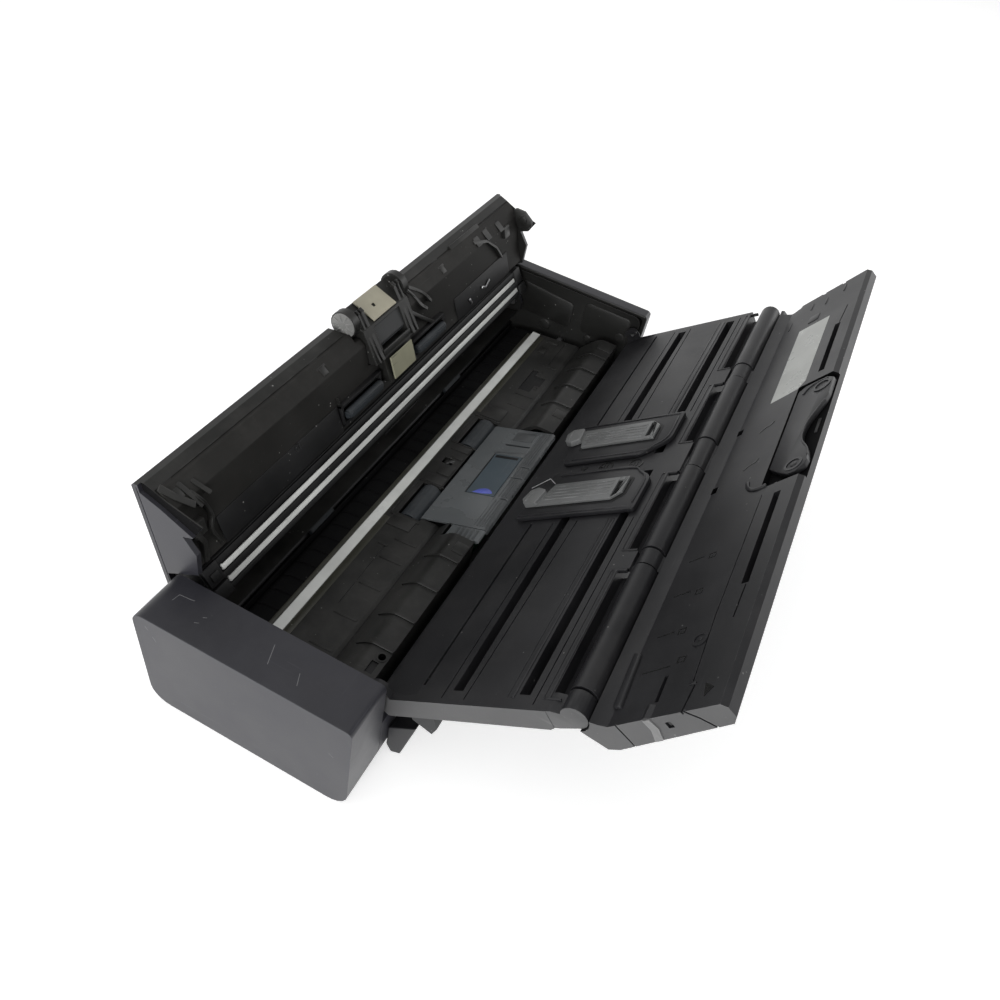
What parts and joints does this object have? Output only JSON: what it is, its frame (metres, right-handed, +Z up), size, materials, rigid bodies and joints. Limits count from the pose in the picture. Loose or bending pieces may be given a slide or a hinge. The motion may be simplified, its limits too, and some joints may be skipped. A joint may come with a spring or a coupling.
{
  "type": "document scanner",
  "caption": "Portable sheet-fed document scanner with a hinged cover, a folding feed tray with flap, sliding sheet guides, scan strips, rollers and a gear train.",
  "frame": {"origin": "on the underside, midway between the ends and midway between the front and back of the end caps", "axes": "+X along the length towards the drive end, +Y towards the feed tray at the back, +Z up"},
  "size_m": [0.288, 0.189, 0.1188],
  "materials": {
    "case": "satin dark blue grey",
    "side_steel": "plain sheet steel",
    "inner_black": "moulded black",
    "sensor_black": "moulded black",
    "scan_strip": "pale translucent strip",
    "separation_grey": "smooth mid grey",
    "separation_pad": "blue grey friction pad",
    "beige_plate": "beige",
    "roller_rubber": "matt black",
    "foot_rubber": "matt black",
    "plated_steel": "plated",
    "gear_plastic": "natural nylon",
    "circuit_board": "green board",
    "tray_black": "fine-grained black",
    "button_grey": "satin grey",
    "arm_black": "satin black"
  },
  "bodies": {
    "base": {"base_frame": "case", "end_cap_near": "case", "end_cap_far": "case", "side_frame_near": "side_steel", "side_frame_far": "inner_black", "exit_chute": "inner_black", "lower_sensor_module": "sensor_black", "lower_scan_strip": "scan_strip", "platen": "inner_black", "paper_guide": "inner_black", "main_board": "circuit_board", "motor": "plated_steel", "usb_socket": "plated_steel", "rubber_foot_1": "foot_rubber", "rubber_foot_2": "foot_rubber", "rubber_foot_3": "foot_rubber", "rubber_foot_4": "foot_rubber", "rear_bracket_near": "case", "rear_bracket_far": "case", "cover_hinge_pin_near": "plated_steel", "cover_hinge_pin_far": "plated_steel", "tray_hinge_pin_near": "plated_steel", "tray_hinge_pin_far": "plated_steel"},
    "cover": {"cover_skin": "case", "cover_inner_plate": "inner_black", "upper_sensor_module": "sensor_black", "upper_scan_strip": "scan_strip", "upper_reference_strip": "scan_strip", "pickup_housing": "inner_black", "pickup_plate": "beige_plate", "pickup_pad": "beige_plate"},
    "pressure_near": {"pressure_roller_near": "roller_rubber"},
    "pressure_far": {"pressure_roller_far": "roller_rubber"},
    "pickup": {"pickup_roller": "roller_rubber"},
    "power_key": {"power_button": "button_grey"},
    "start_key": {"start_button": "button_grey"},
    "separation": {"separation_cover": "separation_grey", "separation_pad": "separation_pad"},
    "release": {"release_lever": "separation_grey"},
    "drive": {"drive_shaft": "plated_steel", "drive_roller_near": "roller_rubber", "drive_roller_far": "roller_rubber", "drive_gear": "gear_plastic"},
    "eject": {"eject_shaft": "plated_steel", "eject_roller_near": "roller_rubber", "eject_roller_far": "roller_rubber", "eject_gear": "gear_plastic"},
    "lower_idler": {"lower_idler_gear": "gear_plastic"},
    "upper_idler": {"upper_idler_gear": "gear_plastic"},
    "pinion": {"motor_pinion": "plated_steel"},
    "tray": {"feed_tray": "tray_black", "flap_hinge_rod": "plated_steel"},
    "flap": {"tray_flap": "tray_black"},
    "arm": {"support_arm": "arm_black"},
    "guide_near": {"side_guide_near": "tray_black"},
    "guide_far": {"side_guide_far": "tray_black"},
    "fence_near": {"guide_fence_near": "separation_grey"},
    "fence_far": {"guide_fence_far": "separation_grey"}
  },
  "joints": [
    {"name": "cover_hinge", "type": "hinge", "parent": "base", "child": "cover", "pos_m": [0, -0.0327, 0.03], "axis": [-1, 0, 0], "range_deg": [0, 100.2]},
    {"name": "pressure_near_spin", "type": "hinge", "parent": "cover", "child": "pressure_near", "pos_m": [0, -0.03311, 0.06163], "axis": [1, 0, 0], "continuous": true},
    {"name": "pressure_far_spin", "type": "hinge", "parent": "cover", "child": "pressure_far", "pos_m": [0, -0.03311, 0.06163], "axis": [1, 0, 0], "continuous": true},
    {"name": "pickup_spin", "type": "hinge", "parent": "cover", "child": "pickup", "pos_m": [0, -0.04371, 0.07709], "axis": [1, 0, 0], "continuous": true},
    {"name": "power_key_press", "type": "slide", "parent": "cover", "child": "power_key", "axis": [0, 0.9842, 0.1771], "range_m": [0, 0.0008], "stiffness_N_per_m": 400, "springref_m": -0.0005},
    {"name": "start_key_press", "type": "slide", "parent": "cover", "child": "start_key", "axis": [0, 0.9842, 0.1771], "range_m": [0, 0.0008], "stiffness_N_per_m": 400, "springref_m": -0.0005},
    {"name": "separation_hinge", "type": "hinge", "parent": "base", "child": "separation", "pos_m": [0, 0.03236, 0.02845], "axis": [1, 0, 0], "range_deg": [0, 3.5], "stiffness_Nm_per_rad": 0.1, "springref_deg": -11.46},
    {"name": "release_hinge", "type": "hinge", "parent": "base", "child": "release", "pos_m": [0, 0.03236, 0.02845], "axis": [1, 0, 0], "range_deg": [0, 6], "stiffness_Nm_per_rad": 0.02, "springref_deg": -8.59},
    {"name": "drive_spin", "type": "hinge", "parent": "base", "child": "drive", "pos_m": [0, -0.0011, 0.0162], "axis": [1, 0, 0], "continuous": true},
    {"name": "eject_spin", "type": "hinge", "parent": "base", "child": "eject", "pos_m": [0, -0.03377, 0.0133], "axis": [1, 0, 0], "continuous": true},
    {"name": "lower_idler_spin", "type": "hinge", "parent": "base", "child": "lower_idler", "pos_m": [0, -0.01903, 0.01461], "axis": [1, 0, 0], "continuous": true},
    {"name": "upper_idler_spin", "type": "hinge", "parent": "base", "child": "upper_idler", "pos_m": [0, 0.0089, 0.03352], "axis": [1, 0, 0], "continuous": true},
    {"name": "pinion_spin", "type": "hinge", "parent": "base", "child": "pinion", "pos_m": [0, 0.02469, 0.02777], "axis": [1, 0, 0], "continuous": true},
    {"name": "tray_hinge", "type": "hinge", "parent": "base", "child": "tray", "pos_m": [0, 0.0378, 0.04], "axis": [1, 0, 0], "range_deg": [0, 100]},
    {"name": "flap_hinge", "type": "hinge", "parent": "tray", "child": "flap", "pos_m": [0, 0.0988, 0.0813], "axis": [1, 0, 0], "range_deg": [0, 71]},
    {"name": "arm_hinge", "type": "hinge", "parent": "flap", "child": "arm", "pos_m": [0.0168, 0.12663, 0.11447], "axis": [0, 0.8358, -0.549], "range_deg": [0, 90]},
    {"name": "guide_near_slide", "type": "slide", "parent": "tray", "child": "guide_near", "axis": [-1, 0, 0], "range_m": [-0.0805, 0]},
    {"name": "guide_far_slide", "type": "slide", "parent": "tray", "child": "guide_far", "axis": [1, 0, 0], "range_m": [-0.0805, 0]},
    {"name": "fence_near_hinge", "type": "hinge", "parent": "guide_near", "child": "fence_near", "pos_m": [0.021, 0.03782, 0.03998], "axis": [0, -0.7869, -0.617], "range_deg": [-90, 0]},
    {"name": "fence_far_hinge", "type": "hinge", "parent": "guide_far", "child": "fence_far", "pos_m": [-0.034, 0.03782, 0.03998], "axis": [0, 0.7869, 0.617], "range_deg": [-90, 0]}
  ],
  "couplings": [
    {"joint": "eject_spin", "follows": "drive_spin", "ratio": 1.6667},
    {"joint": "lower_idler_spin", "follows": "drive_spin", "ratio": -0.8},
    {"joint": "upper_idler_spin", "follows": "drive_spin", "ratio": -0.66667},
    {"joint": "pinion_spin", "follows": "drive_spin", "ratio": 1.6667},
    {"joint": "guide_far_slide", "follows": "guide_near_slide", "ratio": 1}
  ]
}
